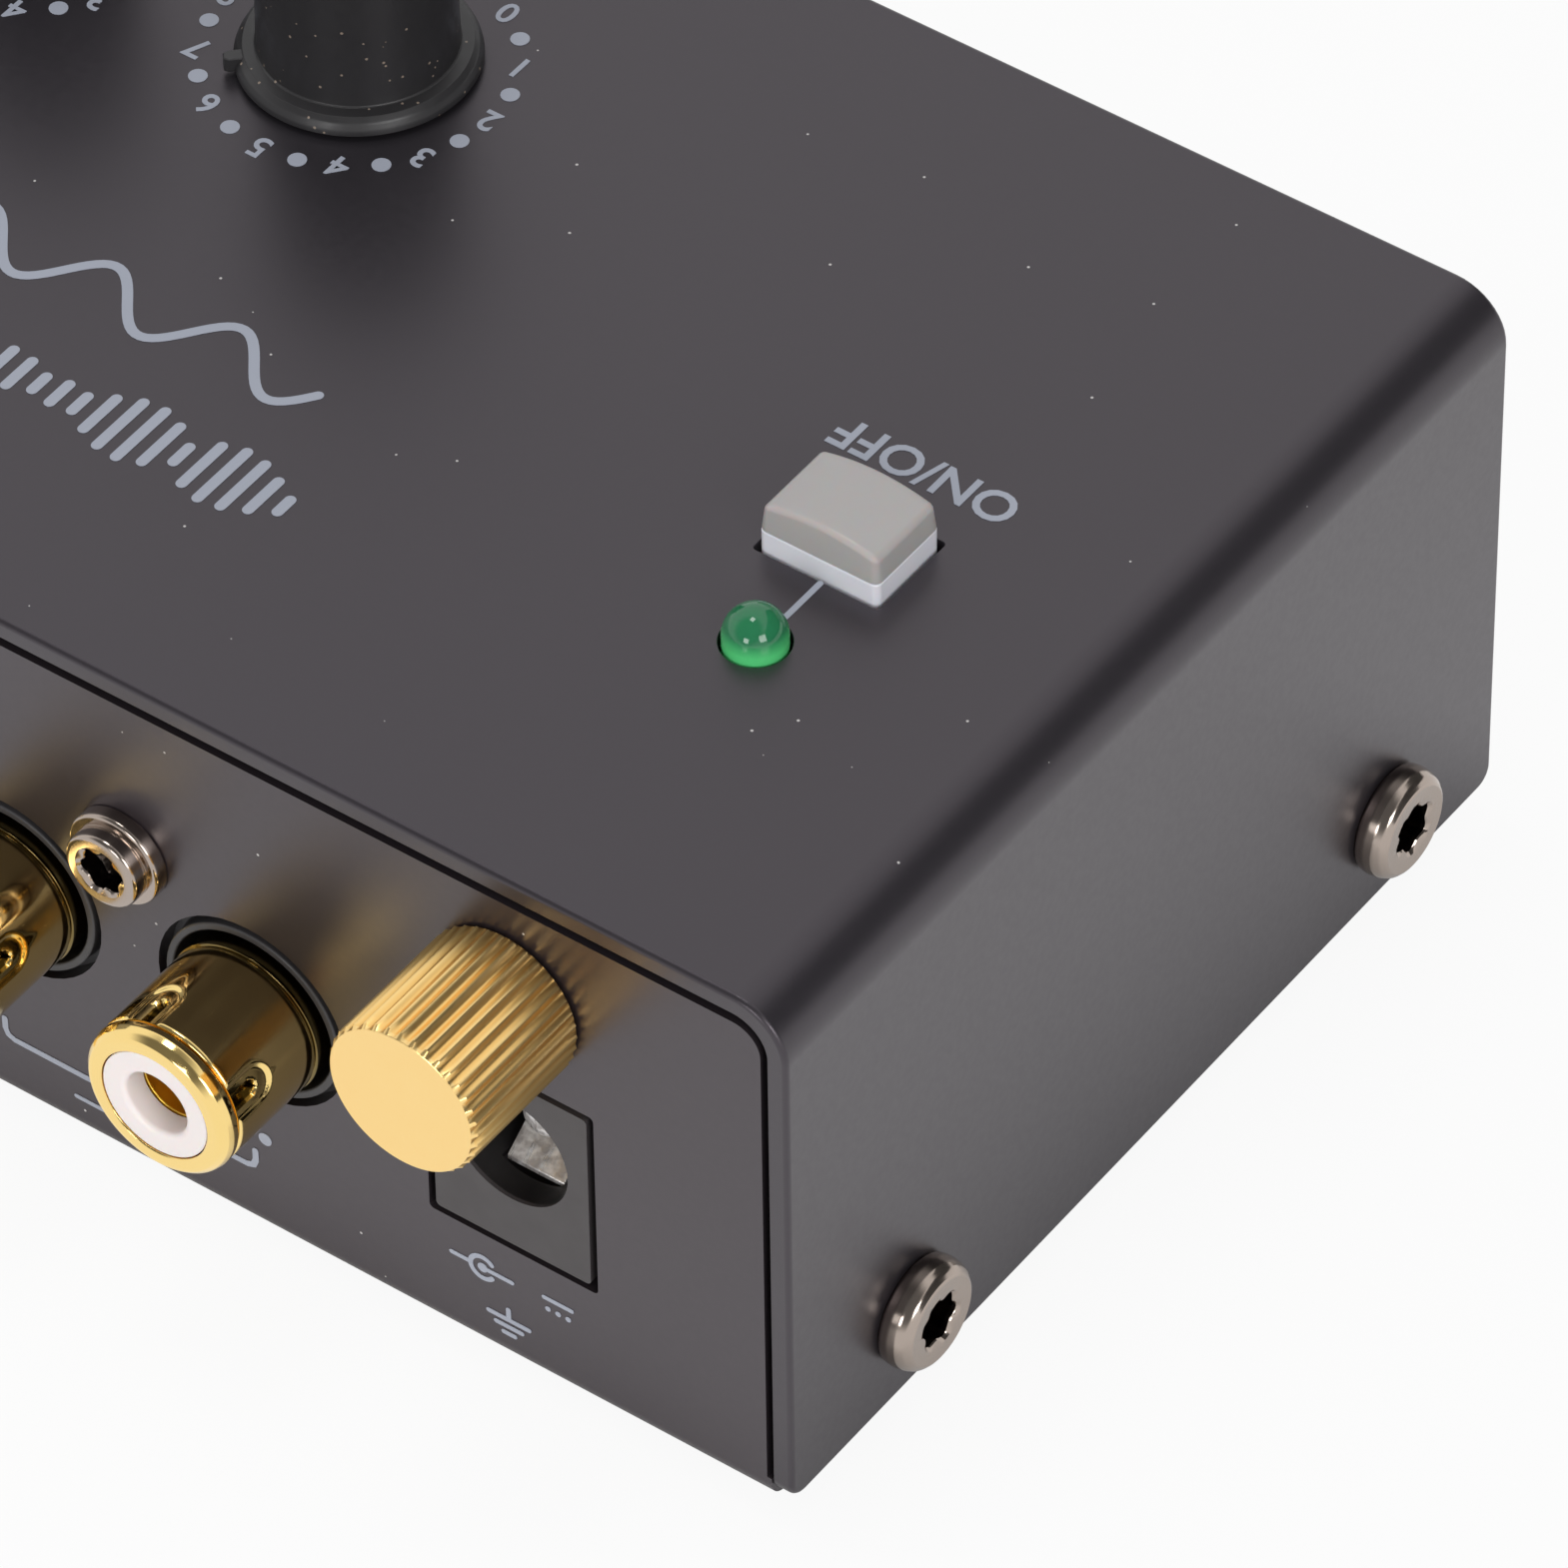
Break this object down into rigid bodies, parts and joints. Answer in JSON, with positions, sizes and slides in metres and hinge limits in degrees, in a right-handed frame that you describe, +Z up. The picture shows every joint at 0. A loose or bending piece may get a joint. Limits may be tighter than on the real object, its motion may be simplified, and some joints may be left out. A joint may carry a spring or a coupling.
{
  "type": "phono preamplifier",
  "caption": "Compact phono preamplifier: folded steel case with two dials, push button and lamp on top, and phono sockets, ground terminal, jack and power inlet at the rear.",
  "frame": {"origin": "under the middle of the case, on the surface that the feet stand on", "axes": "+Z up, +X to the right seen from the front, +Y toward the rear sockets"},
  "size_m": [0.1248, 0.0625, 0.0453],
  "materials": {
    "case_paint": "satin dark grey powder coat",
    "chassis_paint": "satin dark grey powder coat",
    "screw_nickel": "nickel plated",
    "zinc_steel": "zinc plated",
    "foot_rubber": "matte black",
    "circuit_board": "green solder mask",
    "socket_plastic": "moulded dark grey",
    "socket_gold": "polished gold plate",
    "socket_white": "moulded white",
    "contact_gold": "gold plate",
    "inlet_plastic": "moulded grey",
    "contact_tin": "tin plate",
    "terminal_brass": "machined, gold plate",
    "wire_green": "insulated wire",
    "jack_black": "moulded black",
    "pot_base": "phenolic",
    "pot_metal": "tin plate",
    "shaft_alloy": "turned",
    "wiper_brass": "stamped",
    "knob_plastic": "soft matte black",
    "switch_black": "moulded black",
    "spring_steel": "drawn wire",
    "button_white": "moulded white",
    "button_grey": "moulded warm grey",
    "led_green": "tinted clear epoxy",
    "chip_black": "moulded epoxy",
    "capacitor_sleeve": "shrink sleeve",
    "film_red": "dipped film",
    "resistor_blue": "lacquered"
  },
  "bodies": {
    "case": {"top_cover": "case_paint", "chassis": "chassis_paint", "side_screws": "screw_nickel", "clinch_nuts": "zinc_steel", "feet": "foot_rubber", "main_board": "circuit_board", "board_standoffs": "zinc_steel", "board_screws": "screw_nickel", "rca_input_block": "socket_plastic", "rca_input_shells": "socket_gold", "rca_input_insulators": "socket_white", "rca_input_contacts": "contact_gold", "rca_output_block": "socket_plastic", "rca_output_shells": "socket_gold", "rca_output_insulators": "socket_white", "rca_output_contacts": "contact_gold", "rca_panel_screws": "screw_nickel", "dc_jack_housing": "inlet_plastic", "dc_jack_pin": "contact_tin", "dc_jack_leaf": "contact_tin", "dc_jack_terminals": "contact_tin", "ground_stud": "terminal_brass", "ground_stud_nut": "terminal_brass", "ground_tag": "contact_tin", "ground_wire": "wire_green", "trs_jack_housing": "jack_black", "trs_jack_washer": "contact_tin", "trs_jack_nut": "contact_tin", "trs_jack_springs": "contact_tin", "level_pot_case": "pot_base", "level_pot_cover": "pot_metal", "volume_pot_case": "pot_base", "volume_pot_cover": "pot_metal", "power_switch_case": "switch_black", "power_switch_spring": "spring_steel", "led_lens": "led_green", "led_spacer": "switch_black", "led_leads": "contact_tin", "opamp_chips": "chip_black", "electrolytic_capacitors": "capacitor_sleeve", "film_capacitors": "film_red", "resistors": "resistor_blue", "voltage_regulator": "chip_black", "input_choke": "switch_black"},
    "level_control": {"level_pot_shaft": "shaft_alloy", "level_pot_wiper": "wiper_brass", "level_knob": "knob_plastic"},
    "volume_control": {"volume_pot_shaft": "shaft_alloy", "volume_pot_wiper": "wiper_brass", "volume_knob": "knob_plastic"},
    "power_button": {"power_switch_plunger": "button_white", "power_button_base": "button_white", "power_button_cap": "button_grey"},
    "ground_clamp_washer": {"ground_washer": "terminal_brass"},
    "ground_thumb_nut": {"ground_nut": "terminal_brass"}
  },
  "joints": [
    {"name": "level_turn", "type": "hinge", "parent": "case", "child": "level_control", "pos_m": [-0.0092, -0.0107, 0.032], "axis": [0, 0, -1], "range_deg": [-195, 105]},
    {"name": "volume_turn", "type": "hinge", "parent": "case", "child": "volume_control", "pos_m": [0.0092, -0.0107, 0.032], "axis": [0, 0, -1], "range_deg": [-150, 150]},
    {"name": "power_press", "type": "slide", "parent": "case", "child": "power_button", "axis": [0, 0, -1], "range_m": [0, 0.0015], "stiffness_N_per_m": 300, "springref_m": -0.002, "deforming": ["power_switch_spring"]},
    {"name": "ground_nut_travel", "type": "slide", "parent": "case", "child": "ground_clamp_washer", "axis": [0, 1, 0], "range_m": [0, 0.0021]},
    {"name": "ground_nut_turn", "type": "hinge", "parent": "ground_clamp_washer", "child": "ground_thumb_nut", "pos_m": [-0.0458, 0.0274, 0.025], "axis": [0, 1, 0], "range_deg": [0, 1081]}
  ],
  "couplings": [
    {"joint": "ground_nut_turn", "follows": "ground_nut_travel", "rad_per_m": 8976}
  ]
}
